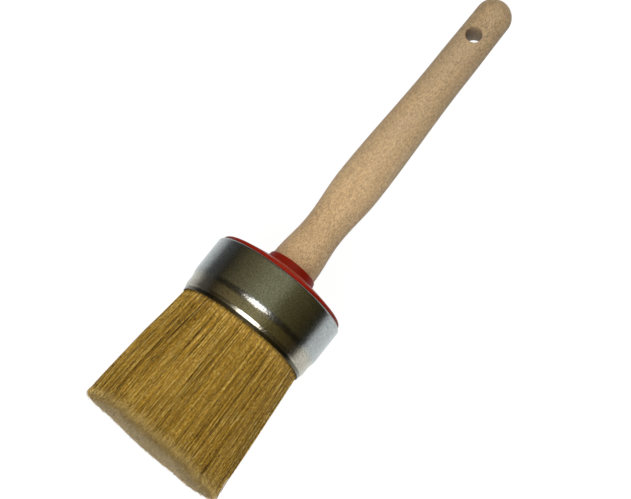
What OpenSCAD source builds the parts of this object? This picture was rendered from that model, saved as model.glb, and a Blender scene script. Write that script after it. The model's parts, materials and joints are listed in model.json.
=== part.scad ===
// Round stencil brush lying on its side, in millimetres.
// Every piece is made along the brush's own axis: z runs from the bristle tips (0) to the butt, and +x is the
// side that the brush lies on. lay() then sets it down on z = 0 with the handle towards +X.

/* [Ferrule] */
// Outer diameter of the lower band, above the hem
ferrule_d = 65.8; // [60:0.1:70]
// Height of the ferrule along the brush
ferrule_h = 28.6; // [26:0.1:32]
// Thickness of the tinplate
tin = 0.5; // [0.4:0.05:0.6]
// How much further out the upper band stands than the lower band
shoulder_out = 0.8; // [0.6:0.1:1.4]
// Height of the middle of the shoulder above the mouth
shoulder_at = 9.2; // [8:0.1:11]
// How far the hem is drawn in at the mouth
hem_in = 0.7; // [0.4:0.1:0.8]
// Width of the folded lock seam
seam_w = 7; // [6:0.5:9]
// How far the lock seam stands out
seam_out = 0.5; // [0.3:0.05:0.6]

/* [Bristles] */
// Free length of the bristles, from the tips to the mouth
bristle_l = 62.3; // [55:0.1:70]
// Diameter of the head at the tips
head_d = 72.4; // [69:0.1:75]
// Rings of tufts round the middle one
tuft_rings = 3; // [3:1:3]
// Sideways bend that the tufts have room for, in degrees
flex = 20; // [5:1:20]

/* [Plug] */
// Height of the plug's rounded edge above the lip
plug_edge_h = 1.9; // [1:0.1:2.5]
// Height of the crown, from the lip to the foot of the hub
crown_h = 6.3; // [5:0.1:8]
// Height of the hub's top above the lip
hub_top = 10.2; // [9:0.1:13]
// Outer diameter of the hub at its top
hub_d = 24.2; // [23.8:0.1:26]
// Wall thickness of the plug
plug_wall = 2; // [1.6:0.1:2.4]

/* [Handle] */
// Length of the whole brush, from tips to butt
brush_l = 259.6; // [240:0.1:275]
// Diameter of the spigot in the plug
spigot_d = 22.6; // [21:0.1:22.8]
// Diameter of the neck
neck_d = 19; // [17:0.1:20]
// Diameter of the swell
swell_d = 22; // [21:0.1:24]
// Diameter of the grip, below the hanging hole
grip_d = 18.1; // [17:0.1:19]
// Diameter of the butt
butt_d = 17.3; // [16:0.1:18]
// Diameter of the hanging hole
hole_d = 8; // [6:0.1:9]

/* [Hidden] */
$fn = 96;
arc_steps = 10;
turned_steps = 60;

// Where the brush's stretches begin and end along its axis
mouth_z = bristle_l;
lip_z = mouth_z + ferrule_h;
hub_z = lip_z + hub_top;
neck_z = lip_z + 32.5;
swell_z = lip_z + 58;
grip_z = lip_z + 128;
butt_z = brush_l - butt_d / 2;
hole_z = brush_l - 23.2;
hole_turn = 14;

// Ferrule section
lower_r = ferrule_d / 2;
upper_r = lower_r + shoulder_out;
shoulder_run = 5;
lip_round = 1.2;
lip_r = upper_r - lip_round;
hem_r = lower_r - hem_in;
hem_foot = 0.9;
hem_run = 2.6;
seam_foot = 1.2;

// Tufts: each turns on a ball at its root, just outside the mouth
pivot_z = mouth_z - 3;
tuft_gap = 0.4;
ring_pitch = 9.2;
tuft_r = (ring_pitch * cos(flex) - tuft_gap) / 2;
bundle_r = tuft_rings * ring_pitch + tuft_r;
spread = head_d / 2 / bundle_r;
tuft_tip_r = tuft_r * spread;

// Stack inside the ferrule: roots, resin, plug
roots_z = pivot_z + tuft_r + 0.35;
resin_z = mouth_z + 7.7;
plug_z = mouth_z + 16.7;
stub_r = 3.4;
stub_h = 6;

// Plug
crown_r = 13.8;
crown_bulge = 0.3;
hub_fillet = 1.2;
hub_edge = 0.6;
edge_round = 1.2;
socket_r = spigot_d / 2 + 1.8;
rib_count = 6;
rib_w = 1.6;
rib_foot = 1;

// Lying pose: the lock seam's upper end and the two lowest tufts touch the table
seam_top_z = lip_z - lip_round;
rest_r = upper_r + seam_out;
tip_ring_r = tuft_rings * ring_pitch * spread;
tip_down = tip_ring_r * cos(180 / (6 * tuft_rings)) + tuft_tip_r;
pitch = atan((tip_down - rest_r) / seam_top_z);
lift = rest_r * cos(pitch) + seam_top_z * sin(pitch);
tip_end_x = -tip_down * sin(pitch);
butt_end_x = butt_z * cos(pitch) + butt_d / 2;

function ease(u) = (1 - cos(180 * min(max(u, 0), 1))) / 2;
function mix(a, b, u) = a + (b - a) * ease(u);
function reversed(list) = [for (i = [len(list) - 1:-1:0]) list[i]];

// Points along an arc of radius r round (cx, cz); tall stretches it along z into an oval
function arc(cx, cz, r, a0, a1, tall = 1) = [
    for (i = [0:arc_steps])
        let (a = a0 + (a1 - a0) * i / arc_steps)
        [cx + r * cos(a), cz + r * tall * sin(a)]
];

// Outer radius of the ferrule's wall: the hem draws in to the mouth, and the shoulder steps out
function shell_r(z) =
    mix(hem_r, lower_r, (z - mouth_z - hem_foot) / hem_run)
    + mix(0, shoulder_out, (z - mouth_z - shoulder_at) / shoulder_run + 0.5);

// Heights where the wall curves
BENDS = concat(
    [for (i = [0:arc_steps]) mouth_z + hem_foot + hem_run * i / arc_steps],
    [for (i = [0:arc_steps]) mouth_z + shoulder_at + shoulder_run * (i / arc_steps - 0.5)]
);

// Points up the wall from one height to another, moved inwards by inset
function wall_line(z0, z1, inset) = concat(
    [[shell_r(z0) - inset, z0]],
    [for (z = BENDS) if (z > z0 && z < z1) [shell_r(z) - inset, z]],
    [[shell_r(z1) - inset, z1]]
);

// Radius of the turned handle, from the hub to the butt
function handle_r(z) =
    z < neck_z ? mix(spigot_d, neck_d, (z - hub_z) / (neck_z - hub_z)) / 2
    : z < swell_z ? mix(neck_d, swell_d, (z - neck_z) / (swell_z - neck_z)) / 2
    : z < grip_z ? mix(swell_d, grip_d, (z - swell_z) / (grip_z - swell_z)) / 2
    : mix(grip_d, butt_d, (z - grip_z) / (butt_z - grip_z)) / 2;

// Angle of tuft i in a ring, so that the table lies between two tufts of the outer ring
function tuft_angle(ring, i) = ring == 0 ? 0 : (i - 0.5) * 60 / ring;
function tuft_name(ring, i) = ring == 0 ? "tuft_0" : str("tuft_", ring, "_", i);

TUFTS = [for (ring = [0:tuft_rings]) for (i = [1:max(1, 6 * ring)]) [ring, i]];

module lay() {
    translate([-(tip_end_x + butt_end_x) / 2, 0, lift])
        rotate([0, 90 + pitch, 0])
            children();
}

// A flat plate w thick, drawn as x and z and standing across y
module upright_plate(w) {
    rotate([90, 0, 0])
        linear_extrude(w, center = true)
            children();
}

module at_tuft(ring, i, r) {
    rotate([0, 0, tuft_angle(ring, i)])
        translate([ring * r, 0, 0])
            children();
}

// Turned beech handle: spigot, neck, swell, grip, round butt and hanging hole
module handle() {
    turned = [
        for (i = [0:turned_steps - 1])
            let (z = hub_z + (butt_z - hub_z) * i / turned_steps)
            [handle_r(z), z]
    ];
    butt = arc(0, butt_z, butt_d / 2, 0, 90);
    color("burlywood")
        lay()
            difference() {
                rotate_extrude()
                    polygon(concat([[0, plug_z], [spigot_d / 2, plug_z]], turned, butt));
                translate([0, 0, hole_z])
                    rotate([0, -90, -hole_turn])
                        cylinder(h = 2 * butt_d, d = hole_d, center = true);
            }
}

// Height of the crown's surface, from its edge (u = 0) to the foot of the hub (u = 1)
function crown_z(u) = lip_z + plug_edge_h + (crown_h - plug_edge_h) * u + 4 * crown_bulge * u * (1 - u);

// Section of the plug: skirt, crown and hub outside, a hollow under the crown, and the handle's socket
module plug_section() {
    edge_r = lip_r - edge_round;
    crown = [
        for (u = [0.1:0.1:0.9])
            [edge_r + (crown_r - edge_r) * u, crown_z(u)]
    ];
    outside = concat(
        [[upper_r - tin, plug_z]],
        arc(lip_r, lip_z - lip_round, lip_round - tin, 0, 90),
        arc(edge_r, lip_z + plug_edge_h - edge_round, edge_round, 0, 80),
        crown,
        arc(crown_r, lip_z + crown_h + hub_fillet, hub_fillet, -90, -180),
        [[hub_d / 2, hub_z - hub_edge], [hub_d / 2 - hub_edge / 2, hub_z - hub_edge / 6]],
        [[hub_d / 2 - hub_edge, hub_z]]
    );
    inside = [
        [spigot_d / 2, hub_z],
        [spigot_d / 2, plug_z],
        [socket_r, plug_z],
        [socket_r, crown_z(1) - plug_wall],
        [lip_r - plug_wall, crown_z(0) - plug_wall],
        [upper_r - tin - plug_wall, plug_z]
    ];
    polygon(concat(outside, inside));
}

// Red plastic plug that closes the ferrule and holds the handle
module plug() {
    rib_in = (spigot_d / 2 + socket_r) / 2;
    rib_out = lip_r - plug_wall / 2;
    rib = [
        [rib_in, plug_z + rib_foot],
        [rib_out, plug_z + rib_foot],
        [rib_out, crown_z(0) - plug_wall],
        [rib_in, crown_z(1) - plug_wall * 0.8]
    ];
    color("firebrick")
        lay() {
            rotate_extrude()
                plug_section();
            for (i = [1:rib_count])
                rotate([0, 0, i * 360 / rib_count])
                    upright_plate(rib_w)
                        polygon(rib);
        }
}

// Tinplate ferrule with its hem, shoulder, crimped lip and lock seam
module ferrule() {
    lip_mid_z = lip_z - lip_round;
    edge = tin / 2;
    wall = concat(
        arc(hem_r - edge, mouth_z + edge, edge, -180, 0),
        wall_line(mouth_z + 2 * edge, lip_mid_z - 1, 0),
        arc(lip_r, lip_mid_z, lip_round, 0, 90),
        arc(lip_r, lip_mid_z, lip_round - tin, 90, 0),
        reversed(wall_line(mouth_z + 2 * edge, lip_mid_z - 1, tin))
    );
    seam = concat(
        wall_line(mouth_z + seam_foot, seam_top_z, -seam_out),
        reversed(wall_line(mouth_z + seam_foot, seam_top_z, tin * 0.7))
    );
    color("silver")
        lay() {
            rotate_extrude()
                polygon(wall);
            upright_plate(seam_w)
                polygon(seam);
        }
}

// Cast epoxy that fills the ferrule over the shoulder, with a pocket for the roots of each tuft
module resin_setting() {
    color("khaki")
        lay()
            difference() {
                rotate_extrude()
                    polygon(concat([[0, resin_z]], wall_line(resin_z, plug_z, tin), [[0, plug_z]]));
                root_stubs(resin_z - 1, stub_h + 1);
            }
}

module root_stubs(z, h) {
    for (t = TUFTS)
        at_tuft(t[0], t[1], ring_pitch)
            translate([0, 0, z])
                cylinder(h = h, r = stub_r);
}

// Bound roots of the bristles, inside the mouth
module bristle_roots() {
    color("peru")
        lay() {
            rotate_extrude()
                polygon(concat([[0, roots_z]], wall_line(roots_z, resin_z, tin), [[0, resin_z]]));
            root_stubs(resin_z - 1, stub_h + 1);
        }
}

// One tuft: a ball-ended cone that leans out with its ring
module tuft(ring, i) {
    lean = atan(ring * ring_pitch * (spread - 1) / pivot_z);
    length = pivot_z / cos(lean);
    color("goldenrod")
        lay()
            at_tuft(ring, i, ring_pitch)
                translate([0, 0, pivot_z])
                    rotate([0, -lean, 0])
                        rotate_extrude()
                            polygon(concat(arc(0, 0, tuft_r, 90, 0), [[tuft_tip_r, -length], [0, -length]]));
}

handle();
plug();
ferrule();
resin_setting();
bristle_roots();
for (t = TUFTS)
    tuft(t[0], t[1]);
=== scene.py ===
"""Round stencil brush lying on its side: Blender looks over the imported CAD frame.

Lengths are in metres. "Brush coordinates" are (x, y, z), with z along the brush from the bristle tips to the
butt, x towards the table and y to the side, as in the CAD source. to_row() turns them into the shared frame.
"""

import json
import math

import bpy
import numpy as np
from mathutils import Matrix, Vector


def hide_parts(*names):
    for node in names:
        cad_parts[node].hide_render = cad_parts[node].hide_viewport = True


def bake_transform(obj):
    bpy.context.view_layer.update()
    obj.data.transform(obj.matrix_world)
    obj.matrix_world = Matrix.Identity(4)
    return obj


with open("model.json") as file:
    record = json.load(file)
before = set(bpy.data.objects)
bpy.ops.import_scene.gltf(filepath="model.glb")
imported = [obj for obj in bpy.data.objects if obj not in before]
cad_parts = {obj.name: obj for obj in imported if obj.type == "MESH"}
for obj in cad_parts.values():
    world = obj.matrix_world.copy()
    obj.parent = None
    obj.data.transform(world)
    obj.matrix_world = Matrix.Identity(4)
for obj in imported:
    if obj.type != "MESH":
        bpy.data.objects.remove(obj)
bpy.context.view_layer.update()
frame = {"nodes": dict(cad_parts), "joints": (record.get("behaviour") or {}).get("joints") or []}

MM = 0.001
SEED = 5


# ---------------------------------------------------------------- the brush's own axes, read from the frame

hinges = {j["child"]: j for j in frame["joints"]}
UP = Vector(hinges["tuft_0"]["axis"]).normalized()
SIDE = Vector((0, 1, 0))
ALONG = SIDE.cross(UP)
pivot = Vector(hinges["tuft_0"]["pos_m"])


def along_and_out(node):
    """How far each vertex of a CAD node is along the brush from the pivot, and how far off the axis."""
    co = np.array([v.co for v in frame["nodes"][node].data.vertices]) - np.array(pivot)
    along = co @ np.array(ALONG)
    out = np.linalg.norm(co - np.outer(along, np.array(ALONG)), axis=1)
    return along, out


TIPS = pivot + ALONG * float(along_and_out("tuft_0")[0].min())
BASIS = np.array([-UP, SIDE, ALONG])


def to_row(points):
    """Brush coordinates, one point a row, turned into the shared frame."""
    return np.asarray(points, float) @ BASIS + np.array(TIPS)


def to_brush(points):
    """Points of the shared frame, one a row, turned into brush coordinates."""
    return (np.asarray(points, float) - np.array(TIPS)) @ BASIS.T


def span(node):
    """Lowest and highest place of a CAD node along the brush, from the tips."""
    co = to_brush([v.co for v in frame["nodes"][node].data.vertices])
    return co[:, 2].min(), co[:, 2].max()


mouth_z, lip_z = span("ferrule")
neck_z = lip_z + 30 * MM
butt_z = span("handle")[1]
tuft_names = [name for name in frame["nodes"] if name.startswith("tuft_")]
tuft_names.sort(key=lambda name: [int(number) for number in name.split("_")[1:]])
tuft_roots = np.array([to_brush([hinges[n]["pos_m"]])[0][:2] for n in tuft_names])
head_r = max(along_and_out(n)[1].max() for n in tuft_names)


# ---------------------------------------------------------------- node-building helpers


class Nodes:
    """A node tree, with short calls for the nodes used here."""

    def __init__(self, tree):
        self.tree = tree

    def add(self, kind, **settings):
        node = self.tree.nodes.new(kind)
        for key, value in settings.items():
            if hasattr(node, key):
                setattr(node, key, value)
            else:
                node.inputs[key.replace("_", " ")].default_value = value
        return node

    def link(self, a, b):
        self.tree.links.new(a, b)

    def coordinates(self, scale):
        """Object coordinates with X along the brush, stretched by scale (cycles a metre along and across)."""
        source = self.add("ShaderNodeTexCoord")
        mapping = self.add("ShaderNodeMapping")
        mapping.inputs["Scale"].default_value = scale
        self.link(source.outputs["Object"], mapping.inputs["Vector"])
        return mapping.outputs["Vector"]

    def map_range(self, value, start, end, a, b, how="LINEAR"):
        node = self.add("ShaderNodeMapRange", interpolation_type=how)
        for socket, number in zip(("From Min", "From Max", "To Min", "To Max"), (start, end, a, b)):
            node.inputs[socket].default_value = number
        self.link(value, node.inputs["Value"])
        return node.outputs[0]

    def across(self, start, end, a, b, direction=SIDE, origin=Vector()):
        """A value that eases from a to b between two distances from the origin in a direction."""
        place = self.add("ShaderNodeVectorMath", operation="DOT_PRODUCT")
        self.link(self.add("ShaderNodeTexCoord").outputs["Object"], place.inputs[0])
        place.inputs[1].default_value = direction
        shift = origin.dot(direction)
        return self.map_range(place.outputs["Value"], start + shift, end + shift, a, b, "SMOOTHSTEP")

    def along(self, z0, z1, a, b):
        """A value that eases from a to b between two places along the brush."""
        return self.across(z0, z1, a, b, ALONG, TIPS)

    def noise(self, scale, detail=3.0, roughness=0.5):
        node = self.add("ShaderNodeTexNoise")
        node.inputs["Scale"].default_value = 1.0
        node.inputs["Detail"].default_value = detail
        node.inputs["Roughness"].default_value = roughness
        self.link(self.coordinates(scale), node.inputs["Vector"])
        return node.outputs["Fac"]

    def cells(self, scale):
        node = self.add("ShaderNodeTexVoronoi")
        node.inputs["Scale"].default_value = 1.0
        self.link(self.coordinates(scale), node.inputs["Vector"])
        return node

    def ramp(self, value, *stops):
        """Colours, or grey values, at places from 0 to 1, with even steps between them."""
        node = self.add("ShaderNodeValToRGB")
        elements = node.color_ramp.elements
        while len(elements) < len(stops):
            elements.new(0.5)
        for element, (place, colour) in zip(elements, stops):
            element.position = place
            element.color = (*colour, 1) if isinstance(colour, tuple) else (colour,) * 3 + (1,)
        self.link(value, node.inputs["Fac"])
        return node.outputs["Color"]

    def mix(self, factor, a, b, how="MIX"):
        node = self.add("ShaderNodeMix", data_type="RGBA", blend_type=how)
        for socket, value in ((node.inputs[0], factor), (node.inputs[6], a), (node.inputs[7], b)):
            if isinstance(value, bpy.types.NodeSocket):
                self.link(value, socket)
            elif isinstance(value, tuple):
                socket.default_value = (*value, 1)
            else:
                socket.default_value = value
        return node.outputs[2]

    def maths(self, how, a, b):
        node = self.add("ShaderNodeMath", operation=how)
        for socket, value in zip(node.inputs, (a, b)):
            if isinstance(value, bpy.types.NodeSocket):
                self.link(value, socket)
            else:
                socket.default_value = value
        return node.outputs[0]

    def bump(self, height, strength, distance, normal=None):
        node = self.add("ShaderNodeBump")
        node.inputs["Strength"].default_value = strength
        node.inputs["Distance"].default_value = distance
        self.link(height, node.inputs["Height"])
        if normal:
            self.link(normal, node.inputs["Normal"])
        return node.outputs["Normal"]


class Material(Nodes):
    """A new material, with its node tree and its shader."""

    def __init__(self, name):
        self.material = bpy.data.materials.new(name)
        self.material.use_nodes = True
        super().__init__(self.material.node_tree)
        self.shader = self.tree.nodes["Principled BSDF"]

    def set(self, **values):
        """Sets the shader's own sockets, by name with _ for a space."""
        for key, value in values.items():
            self.shader.inputs[key.replace("_", " ")].default_value = value

    def drive(self, socket, value):
        self.link(value, self.shader.inputs[socket])


# ---------------------------------------------------------------- materials


def beech():
    m = Material("beech")
    bands = m.noise((7, 55, 90), detail=2)
    colour = m.ramp(
        bands,
        (0.30, (0.69, 0.465, 0.245)),
        (0.52, (0.755, 0.530, 0.295)),
        (0.72, (0.81, 0.585, 0.34)),
    )
    streaks = m.noise((60, 800, 800), detail=3, roughness=0.6)
    colour = m.mix(0.25, colour, m.ramp(streaks, (0.32, 0.66), (0.62, 1.0)), "MULTIPLY")
    pores = m.noise((800, 2400, 2400), detail=1, roughness=0.6)
    fleck = m.ramp(pores, (0.36, 0.45), (0.60, 1.04))
    colour = m.mix(0.75, colour, fleck, "MULTIPLY")

    # the short spindle-shaped rays that mark beech
    rays = m.cells((480, 2100, 2100))
    ray_size = m.noise((90, 300, 300), detail=1)
    ray = m.maths("SUBTRACT", m.maths("MULTIPLY", ray_size, 0.62), rays.outputs["Distance"])
    ray = m.ramp(ray, (0.0, 0.0), (0.12, 1.0))
    colour = m.mix(m.maths("MULTIPLY", ray, 0.45), colour, (0.27, 0.125, 0.055))

    # painted light: the wood is left lighter next to the plug, where the ferrule shades it, and dims
    # gradually up to the neck; from the neck it also turns darker and greyer towards the butt
    dimmed_past_painted_light = m.mix(1.0, colour, (0.83, 0.81, 0.79), "MULTIPLY")
    colour = m.mix(m.along(lip_z, neck_z, 0.0, 1.0), colour, dimmed_past_painted_light)
    greyed = m.mix(0.9, (0.405, 0.282, 0.158), fleck, "MULTIPLY")
    colour = m.mix(m.along(neck_z, butt_z, 0.0, 0.95), colour, greyed)
    grime = m.noise((22, 60, 60), detail=3)
    colour = m.mix(m.ramp(grime, (0.45, 0.0), (0.8, 0.35)), colour, (0.36, 0.29, 0.21))
    m.drive("Base Color", colour)
    m.drive("Roughness", m.ramp(streaks, (0.2, 0.66), (0.8, 0.50)))
    m.set(Specular_IOR_Level=0.35)
    grain = m.bump(pores, 0.5, 0.00012)
    m.drive("Normal", m.bump(ray, 0.2, 0.00008, grain))
    return m.material


def red_plastic():
    m = Material("red_plastic")
    cloud = m.noise((90, 90, 90), detail=3)
    colour = m.ramp(cloud, (0.3, (0.23, 0.009, 0.002)), (0.7, (0.29, 0.014, 0.003)))
    specks = m.noise((1600, 1600, 1600), detail=2)
    colour = m.mix(0.3, colour, m.ramp(specks, (0.3, 0.6), (0.45, 1.0)), "MULTIPLY")
    m.drive("Base Color", colour)
    m.drive("Roughness", m.ramp(cloud, (0.3, 0.36), (0.7, 0.5)))
    m.set(Specular_IOR_Level=0.12)
    m.drive("Normal", m.bump(m.noise((420, 420, 420), detail=2), 0.25, 0.0001))
    return m.material


def tinplate():
    m = Material("tinplate")
    mottle = m.noise((1600, 1600, 1600), detail=1, roughness=0.6)
    dull = m.noise((50, 50, 50), detail=3)
    colour = m.ramp(mottle, (0.36, (0.35, 0.365, 0.37)), (0.64, (0.54, 0.555, 0.56)))
    colour = m.mix(0.5, colour, m.ramp(dull, (0.35, (0.80, 0.79, 0.72)), (0.65, (1.0, 1.0, 1.0))), "MULTIPLY")

    # painted reflection: a warm brown tint below the shoulder stands in for the bristles mirrored in the tin
    painted_bristle_reflection = m.along(mouth_z + 7 * MM, mouth_z + 11 * MM, 0.8, 0.0)
    colour = m.mix(painted_bristle_reflection, colour, m.mix(1.0, colour, (1.2, 1.03, 0.80), "MULTIPLY"))

    # painted shade: a dark strip just above the mouth stands in for the shadow between bristles and hem and
    # trims the hem's highlight; the tin also darkens towards the lip's edge
    edge_darkening = (0.05, 0.04, 0.02)
    colour = m.mix(m.along(mouth_z + 1.2 * MM, mouth_z + 1.9 * MM, 0.8, 0.0), colour, edge_darkening)
    colour = m.mix(m.along(lip_z - 1.0 * MM, lip_z - 0.5 * MM, 0.0, 0.55), colour, edge_darkening)
    m.drive("Base Color", colour)
    m.set(Metallic=1.0)
    rough = m.maths("ADD", m.maths("MULTIPLY", mottle, 0.12), m.maths("MULTIPLY", dull, 0.10))
    m.drive("Roughness", m.maths("ADD", rough, 0.10))
    waves = m.bump(m.noise((60, 60, 60), detail=1), 0.25, 0.0004)
    drawn = m.bump(m.noise((1500, 160, 160), detail=3), 0.12, 0.00004, waves)
    m.drive("Normal", m.bump(mottle, 0.5, 0.0001, drawn))
    return m.material


def resin():
    m = Material("resin")
    cloud = m.noise((120, 120, 120))
    m.drive("Base Color", m.ramp(cloud, (0.3, (0.30, 0.17, 0.05)), (0.7, (0.45, 0.29, 0.10))))
    m.drive("Roughness", m.ramp(cloud, (0.3, 0.25), (0.7, 0.45)))
    return m.material


def bristle():
    """Reads values stored on every bristle: its tone, the paleness of its end (worn, and painted light), and
    how far along it a point is.
    """
    m = Material("bristle")
    tone = m.add("ShaderNodeAttribute", attribute_name="tone").outputs["Fac"]
    along = m.add("ShaderNodeAttribute", attribute_name="along").outputs["Fac"]
    flecks = m.noise((115, 1300, 1300), detail=4, roughness=0.75)
    fleck_size = m.ramp(along, (0.0, 0.5), (0.5, 0.85))
    tone = m.maths("ADD", tone, m.maths("MULTIPLY", m.maths("SUBTRACT", flecks, 0.5), fleck_size))
    grain = m.noise((950, 2500, 2500), detail=0)
    tone = m.maths("ADD", tone, m.maths("MULTIPLY", m.maths("SUBTRACT", grain, 0.5), 1.35))
    colour = m.ramp(
        tone,
        (0.00, (0.030, 0.013, 0.004)),
        (0.14, (0.10, 0.048, 0.006)),
        (0.35, (0.26, 0.140, 0.0135)),
        (0.65, (0.42, 0.238, 0.026)),
        (0.88, (0.57, 0.370, 0.060)),
        (1.00, (0.72, 0.54, 0.185)),
    )
    # the ends are paler than the shafts: partly worn, partly painted light that lifts the tip face out of the
    # shade between the bristles
    golden = m.ramp(tone, (0.15, (0.76, 0.54, 0.20)), (0.75, (1.0, 0.77, 0.32)))
    pale = m.ramp(tone, (0.15, (0.68, 0.51, 0.29)), (0.75, (1.0, 0.84, 0.53)))
    wear_and_painted_light = m.add("ShaderNodeAttribute", attribute_name="wear_and_painted_light").outputs["Fac"]
    worn = m.mix(wear_and_painted_light, golden, pale)
    place = m.maths("SUBTRACT", along, m.maths("MULTIPLY", m.maths("SUBTRACT", 1.0, wear_and_painted_light), 0.035))
    colour = m.mix(m.ramp(place, (0.90, 0.0), (0.94, 0.12), (0.965, 0.8), (0.985, 1.0)), colour, worn)

    # painted shadow, with some glue stain, darkens the first millimetre out of the ferrule
    colour = m.mix(1.0, colour, m.ramp(along, (0.012, 0.12), (0.035, 1.0)), "MULTIPLY")
    m.drive("Base Color", colour)
    m.drive("Roughness", m.ramp(flecks, (0.3, 0.5), (0.7, 0.38)))
    m.set(Specular_IOR_Level=0.45)
    return m.material


def give(node, material):
    """Puts a material on a CAD node."""
    mesh = frame["nodes"][node].data
    mesh.materials.clear()
    mesh.materials.append(material)


# ---------------------------------------------------------------- bristles

# Corners round a bristle
SIDES = 3
# How far inside the mouth the bristles start
ROOT_DEPTH = 1.2 * MM
# Radius that the roots fill at the mouth
MOUTH_R = 31.3 * MM
# Depth of the finer bristles round the outside
SHELL = 3.6 * MM


def scatter(count, inner, outer, rng, shake):
    """Evenly spread points in a ring, in a sunflower pattern that is then shaken up."""
    i = (np.arange(count) + 0.5) / count
    r = np.sqrt(inner**2 + (outer**2 - inner**2) * i)
    a = (np.arange(count) + 0.5) * math.pi * (3 - math.sqrt(5))
    points = np.c_[r * np.cos(a), r * np.sin(a)] + rng.normal(0, shake, (count, 2))
    off = np.linalg.norm(points, axis=1)
    return points * np.minimum(1, outer / off)[:, None]


def drawn_in(tips, spacing, rng):
    """Vectors from the tips to the middles of the clumps that they belong to, and which clump each is in."""
    reach = np.linalg.norm(tips, axis=1).max()
    clumps = scatter(int((reach / spacing) ** 2 * 3.2), 0, reach, rng, spacing * 0.35)

    # in batches, because all the distances at once would fill the memory
    batches = np.array_split(tips, 12)
    nearest = [np.argmin(((batch[:, None] - clumps[None]) ** 2).sum(2), axis=1) for batch in batches]
    nearest = np.concatenate(nearest)
    return clumps[nearest] - tips, nearest, len(clumps)


def tip_height(xy):
    """How far inside the tip plane a bristle ends. Negative where the slanted cut reaches past it."""
    off = np.linalg.norm(xy, axis=1)
    cut = np.interp(xy[:, 1] / MM, [-34, -24, -15, 0, 22, 34], [-3.2, -3.0, -1.85, -1.45, -0.15, -1.2]) * MM
    return cut + 0.05 * (xy[:, 0] - 30 * MM) + 1.7 * MM * np.clip(off / head_r, 0, 1) ** 5


def hold_in(xy, u):
    """Keeps stray bristles within a little of the head's cone."""
    limit = MOUTH_R + (head_r - MOUTH_R) * u + 1.0 * MM
    off = np.linalg.norm(xy, axis=-1)
    return xy * np.minimum(1, limit / np.maximum(off, MM))[..., None]


def rest_on_table(xy, z):
    """Presses bristles that reach below the table back up to it, softly."""
    table = (TIPS.z + z * ALONG.z) / UP.z - 0.3 * MM
    soft = 1.0 * MM
    over = xy[..., 0] - (table - soft)
    pressed = table - soft * np.exp(-np.maximum(over, 0) / soft)
    xy[..., 0] = np.where(over > 0, pressed, xy[..., 0])


def bristle_paths(count, inner, outer, rings, rng):
    """Centre lines of bristles rooted in a ring of the mouth (bristle, ring, xyz), their tones, and how pale
    their ends are, from being worn and from painted light.
    """
    roots = scatter(count, inner, outer, rng, 0.12 * MM)
    tips = roots * (head_r / MOUTH_R) + rng.normal(0, 0.36 * MM, roots.shape)
    tips[:, 1] += 0.15 * MM
    small, small_id, small_count = drawn_in(tips, 0.95 * MM, rng)
    large, large_id, large_count = drawn_in(tips, 4.2 * MM, rng)

    # the bristles part into more open locks on one side
    open_side = np.clip(0.5 - tips[:, 1] / (44 * MM), 0, 1)
    u = np.linspace(0, 1, rings)
    late = np.clip((u - 0.25) / 0.75, 0, 1)
    xy = roots[:, None] + (tips - roots)[:, None] * u[None, :, None]
    xy += small[:, None] * (0.10 * np.clip((u - 0.15) / 0.85, 0, 1))[None, :, None]
    xy += large[:, None] * (0.02 + 0.15 * open_side**2)[:, None, None] * (late**1.5)[None, :, None]

    # each bristle has a slight bow of its own, and a few stray
    for waves, size in ((1, 0.24), (2, 0.09), (3, 0.05)):
        bow = rng.normal(0, size * MM, roots.shape)
        xy += bow[:, None] * np.sin(waves * math.pi * u)[None, :, None]
    xy[..., 1] += 0.7 * MM * np.clip(roots[:, 1] / MOUTH_R, 0, 1)[:, None] * np.sin(math.pi * late)
    stray = rng.random(count) < 0.02
    kick = rng.normal(0, 0.7 * MM, roots.shape) * stray[:, None]
    xy += kick[:, None] * (u**2)[None, :, None]
    xy = hold_in(xy, u)

    short = tip_height(xy[:, -1]) + rng.gamma(1.4, 0.45 * MM, count)
    outermost = np.clip((np.linalg.norm(xy[:, -1], axis=1) / head_r - 0.72) / 0.28, 0, 1)
    short += rng.uniform(0, 2.6 * MM, count) * outermost * (0.5 - 0.5 * xy[:, -1, 0] / head_r)
    z = mouth_z + (short - mouth_z)[:, None] * u[None]
    z[:, 0] += ROOT_DEPTH
    rest_on_table(xy, z)

    # painted shade: bristles on the open side, away from the light, get a slightly darker tone
    tone = rng.normal(0.57, 0.19, count) - 0.04 * open_side
    tone += rng.normal(0, 0.02, small_count)[small_id] + rng.normal(0, 0.02, large_count)[large_id]
    dark = rng.random(count) < 0.035
    tone[dark] = rng.uniform(0.06, 0.28, dark.sum())

    # the ends are palest in the middle and near the table: partly worn, partly painted light that lifts the
    # face where it lies in shade
    below_top = tips[:, 0] + np.sqrt(np.clip(head_r**2 - tips[:, 1] ** 2, 0, None))
    from_edge = head_r - np.linalg.norm(tips, axis=1)
    wear_and_painted_light = np.clip(np.minimum(from_edge / (5 * MM), below_top / (14 * MM)), 0, 1)
    return np.concatenate([xy, z[:, :, None]], axis=2), np.clip(tone, 0.03, 0.98), wear_and_painted_light


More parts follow.
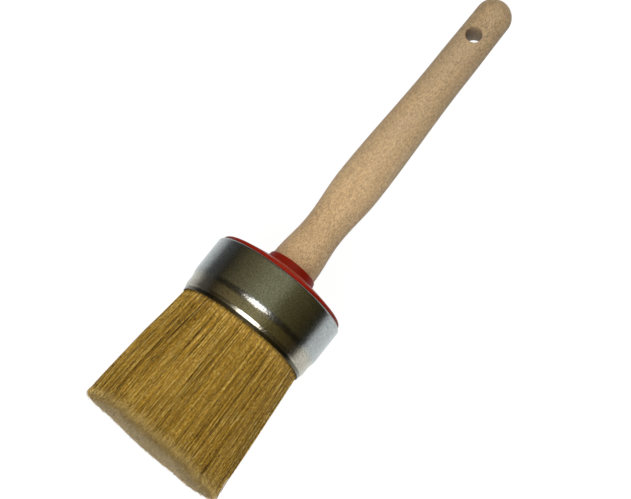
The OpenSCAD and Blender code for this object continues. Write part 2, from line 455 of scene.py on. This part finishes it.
def flag_paths(paths, tones, count, rng):
    """Fine split ends that start part way down some of the bristles and curl apart at the tips."""
    chosen = rng.integers(0, len(paths), count)
    u0 = rng.uniform(0.88, 0.95, count)
    line = paths[chosen]
    place = u0 * (line.shape[1] - 1)
    low = place.astype(int)
    part = (place - low)[:, None]
    rows = np.arange(count)
    start = line[rows, low] * (1 - part) + line[rows, low + 1] * part
    end = line[:, -1].copy()
    end[:, 2] += rng.normal(-0.1 * MM, 0.35 * MM, count)
    v = np.linspace(0, 1, 5)
    flags = start[:, None] + (end - start)[:, None] * v[None, :, None]
    splay = rng.normal(0, 1.0 * MM, (count, 2))
    flags[..., :2] += splay[:, None] * (v**2.5)[None, :, None]
    along = u0[:, None] + (1 - u0)[:, None] * v[None]
    xy, z = hold_in(flags[..., :2], along), flags[..., 2]
    rest_on_table(xy, z)
    flags[..., :2] = xy
    return flags, np.clip(tones[chosen] + rng.normal(0.12, 0.1, count), 0.2, 0.98), along, chosen


def loose_bristle(rings):
    """One long dark bristle that lies on top of the others."""
    u = np.linspace(0, 1, rings)
    z = mouth_z + ROOT_DEPTH + (30 * MM - mouth_z) * u
    y = (20.5 + 3.4 * u) * MM
    r = MOUTH_R + (head_r - MOUTH_R) * (1 - z / mouth_z).clip(0, 1) + (1.6 - 1.8 * u**5) * MM
    return np.stack([-np.sqrt(r**2 - y**2), y, z], axis=1)[None], np.array([-0.6]), (u * 0.5)[None]


def tubes(paths, tones, along, wear_and_painted_light, thickness):
    """Points and faces of tapered, closed tubes along the paths, with each point's tone, place, and end
    paleness from being worn and from painted light.
    """
    count, rings = paths.shape[:2]
    taper = np.interp(along, [0, 0.7, 0.94, 1], [1, 0.95, 0.95, 0.8])
    radius = thickness[:, None] * taper
    phase = np.arange(count)[:, None] * 2.4 + np.arange(SIDES)[None] * 2 * math.pi / SIDES
    ring = np.stack([np.cos(phase), np.sin(phase), np.zeros_like(phase)], axis=2)
    points = paths[:, :, None] + ring[:, None] * radius[:, :, None, None]

    first = np.arange(count) * rings * SIDES
    low = first[:, None, None] + (np.arange(rings - 1) * SIDES)[None, :, None]
    high = low + SIDES
    side = np.arange(SIDES)[None, None, :]
    following = (side + 1) % SIDES
    quads = np.stack([low + side, low + following, high + following, high + side], axis=3).reshape(-1, 4)
    cap = first[:, None] + np.arange(SIDES)[None]
    caps = np.concatenate([cap, cap[:, ::-1] + (rings - 1) * SIDES])
    point_tones = np.repeat(tones, rings * SIDES)
    point_places = np.repeat(along.reshape(-1), SIDES)
    labels = point_tones, point_places, np.repeat(wear_and_painted_light, rings * SIDES)
    return points.reshape(-1, 3), quads, caps, labels


def bristle_piece(name, groups):
    """One object made of several groups of tubes."""
    verts, quads, caps, labels, base = [], [], [], [], 0
    for group in groups:
        points, group_quads, group_caps, group_labels = tubes(*group)
        verts.append(points)
        quads.append(group_quads + base)
        caps.append(group_caps + base)
        labels.append(group_labels)
        base += len(points)
    quads, caps = np.concatenate(quads), np.concatenate(caps)
    mesh = bpy.data.meshes.new(name)
    mesh.vertices.add(base)
    mesh.vertices.foreach_set("co", to_row(np.concatenate(verts)).astype(np.float32).ravel())
    sizes = np.r_[np.full(len(quads), 4), np.full(len(caps), 3)]
    mesh.loops.add(int(sizes.sum()))
    mesh.loops.foreach_set("vertex_index", np.r_[quads.ravel(), caps.ravel()].astype(np.int32))
    mesh.polygons.add(len(sizes))
    mesh.polygons.foreach_set("loop_start", (np.cumsum(sizes) - sizes).astype(np.int32))
    mesh.update(calc_edges=True)
    mesh.shade_smooth()
    for label, values in zip(("tone", "along", "wear_and_painted_light"), zip(*labels)):
        values = np.concatenate(values).astype(np.float32)
        mesh.attributes.new(label, "FLOAT", "POINT").data.foreach_set("value", values)
    piece = bpy.data.objects.new(name, mesh)
    bpy.context.scene.collection.objects.link(piece)
    return piece


def nearest_tuft(paths):
    """Which tuft each path starts nearest to."""
    return np.argmin(((paths[:, 0, None, :2] - tuft_roots[None]) ** 2).sum(2), axis=1)


def make_bristles():
    rng = np.random.default_rng(SEED)
    kinds = []
    for count, inner, outer, rings, radius, flags in (
        (12000, MOUTH_R - SHELL, MOUTH_R, 11, 0.14 * MM, 10000),
        (9500, 0, MOUTH_R - SHELL, 7, 0.28 * MM, 13000),
    ):
        paths, tones, wear_and_painted_light = bristle_paths(count, inner, outer, rings, rng)
        tuft = nearest_tuft(paths)
        along = np.tile(np.linspace(0, 1, rings), (count, 1))
        thickness = rng.normal(radius, radius * 0.14, count).clip(radius * 0.6, radius * 1.5)
        kinds.append((paths, tones, along, wear_and_painted_light, thickness, tuft))
        ends, end_tones, end_along, chosen = flag_paths(paths, tones, flags, rng)
        fine = rng.uniform(0.05 * MM, 0.085 * MM, flags) * 1.4
        kinds.append((ends, end_tones, end_along, wear_and_painted_light[chosen], fine, tuft[chosen]))
    path, tone, along = loose_bristle(14)
    kinds.append((path, tone, along, np.zeros(1), np.array([0.22 * MM]), nearest_tuft(path)))
    material = bristle()
    for i, node in enumerate(tuft_names):
        groups = [tuple(part[kind[-1] == i] for part in kind[:-1]) for kind in kinds]
        groups = [group for group in groups if len(group[0])]
        piece = bristle_piece("bristles_" + node.removeprefix("tuft_"), groups)
        piece.data.materials.append(material)
        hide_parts(node)
        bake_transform(piece)


# ---------------------------------------------------------------- floor, light and camera


def plain_floor():
    """A plain white sheet. The brush sees it a little dimmer than the camera does, and dark to the sides."""
    m = Material("floor")
    m.set(Base_Color=(0.05, 0.05, 0.05, 1), Roughness=0.9, Specular_IOR_Level=0.1)
    left = m.across(0.035, 0.15, 0.98, 0.02)
    right = m.across(-0.75, -0.12, 0.02, 0.92)
    unseen = m.maths("MULTIPLY", left, right)
    seen = m.add("ShaderNodeLightPath").outputs["Is Camera Ray"]
    m.drive("Emission Color", m.mix(seen, (0.93, 0.985, 1.0), (1.0, 1.0, 1.0)))
    glow = m.maths("MULTIPLY", m.maths("SUBTRACT", 1.0, seen), unseen)
    m.drive("Emission Strength", m.maths("ADD", m.maths("MULTIPLY", seen, 0.97), glow))
    mesh = bpy.data.meshes.new("floor")
    far = 4.0
    mesh.from_pydata([(-far, -far, 0), (far, -far, 0), (far, far, 0), (-far, far, 0)], [], [(0, 1, 2, 3)])
    mesh.materials.append(m.material)
    floor = bpy.data.objects.new("floor", mesh)
    bpy.context.scene.collection.objects.link(floor)


def sky():
    """A dim room, brightest overhead, dimmer to the right, with a dark band on the tips' side.

    The camera sees a pale backdrop instead.
    """
    world = bpy.data.worlds.new("studio")
    world.use_nodes = True
    m = Nodes(world.node_tree)
    apart = m.add("ShaderNodeSeparateXYZ")
    m.link(m.add("ShaderNodeTexCoord").outputs["Generated"], apart.inputs[0])
    colour = m.ramp(
        apart.outputs["Z"],
        (0.0, (0.035, 0.030, 0.020)),
        (0.31, (0.12, 0.100, 0.052)),
        (0.64, (0.20, 0.170, 0.090)),
        (0.86, (0.29, 0.265, 0.150)),
        (1.0, (0.37, 0.355, 0.210)),
    )
    front = m.map_range(apart.outputs["X"], -0.6, 0.0, 0.0, 1.0)
    front = m.ramp(front, (0.0, 0.8), (0.35, 0.6), (0.55, 0.08), (0.68, 0.08), (0.95, 1.0))
    colour = m.mix(1, colour, front, "MULTIPLY")
    lit = m.map_range(apart.outputs["Y"], -0.43, -0.15, 0.0, 1.0, "SMOOTHSTEP")
    colour = m.mix(1, colour, m.mix(lit, (0.45, 0.42, 0.27), (1.0, 1.0, 1.0)), "MULTIPLY")
    seen = m.add("ShaderNodeLightPath").outputs["Is Camera Ray"]
    m.link(m.mix(seen, colour, (0.93, 0.93, 0.93)), m.tree.nodes["Background"].inputs["Color"])
    bpy.context.scene.world = world


def softbox(name, tilt, swing, size, power, shines=True, distance=1.2):
    """An oval lamp facing the brush: tilted from overhead towards the handle, then swung to the left.

    Its width lies across the brush. A lamp that doesn't shine lights the brush but isn't mirrored in it.
    """
    tilt, swing = math.radians(tilt), math.radians(swing)
    out = Vector((math.sin(tilt) * math.cos(swing), math.sin(swing), math.cos(tilt) * math.cos(swing)))
    across = SIDE - out * out.dot(SIDE)
    across.normalize()
    lamp = bpy.data.lights.new(name, "AREA")
    lamp.shape = "ELLIPSE"
    lamp.size, lamp.size_y = size
    lamp.energy = power
    holder = bpy.data.objects.new(name, lamp)
    axes = Matrix((across, out.cross(across), out)).transposed()
    holder.matrix_world = Matrix.Translation(Vector((0, 0, 0.03)) + out * distance) @ axes.to_4x4()
    holder.visible_glossy = shines
    bpy.context.scene.collection.objects.link(holder)


def lights():
    sky()
    softbox("key", -29, 6, (0.82, 0.5), 7.0)
    softbox("fill", 50, -3, (1.0, 1.0), 8.5, shines=False)
    softbox("rim", 50, 0, (0.35, 0.4), 0.3)
    softbox("side", 0, 52, (0.9, 0.9), 2.3, shines=False)
    softbox("front", -64, 0, (0.9, 0.9), 12.0, shines=False)


def camera():
    """Looks almost straight down on the brush, with its handle pointing up to the right."""
    distance = 1.30
    lean = math.radians(12.2)
    roll = math.radians(51.42)
    aim = to_row([[0, -2.67 * MM, 114.0 * MM]])[0]
    view = (ALONG * math.sin(lean) - UP * math.cos(lean)).normalized()
    handle_way = (ALONG - view * ALONG.dot(view)).normalized()
    right = handle_way * math.cos(roll) - SIDE * math.sin(roll)
    top = handle_way * math.sin(roll) + SIDE * math.cos(roll)
    data = bpy.data.cameras.new("camera")
    data.sensor_width = 36
    data.lens = 165.3
    data.clip_start, data.clip_end = 0.05, 20
    holder = bpy.data.objects.new("camera", data)
    axes = Matrix((right, top, -view)).transposed()
    holder.matrix_world = Matrix.Translation(Vector(aim) - view * distance) @ axes.to_4x4()
    bpy.context.scene.collection.objects.link(holder)
    bpy.context.scene.camera = holder


camera()
give("handle", beech())
give("plug", red_plastic())
give("ferrule", tinplate())
give("resin_setting", resin())
give("bristle_roots", bristle())
make_bristles()
plain_floor()
lights()
bpy.context.scene.view_settings.view_transform = "Standard"
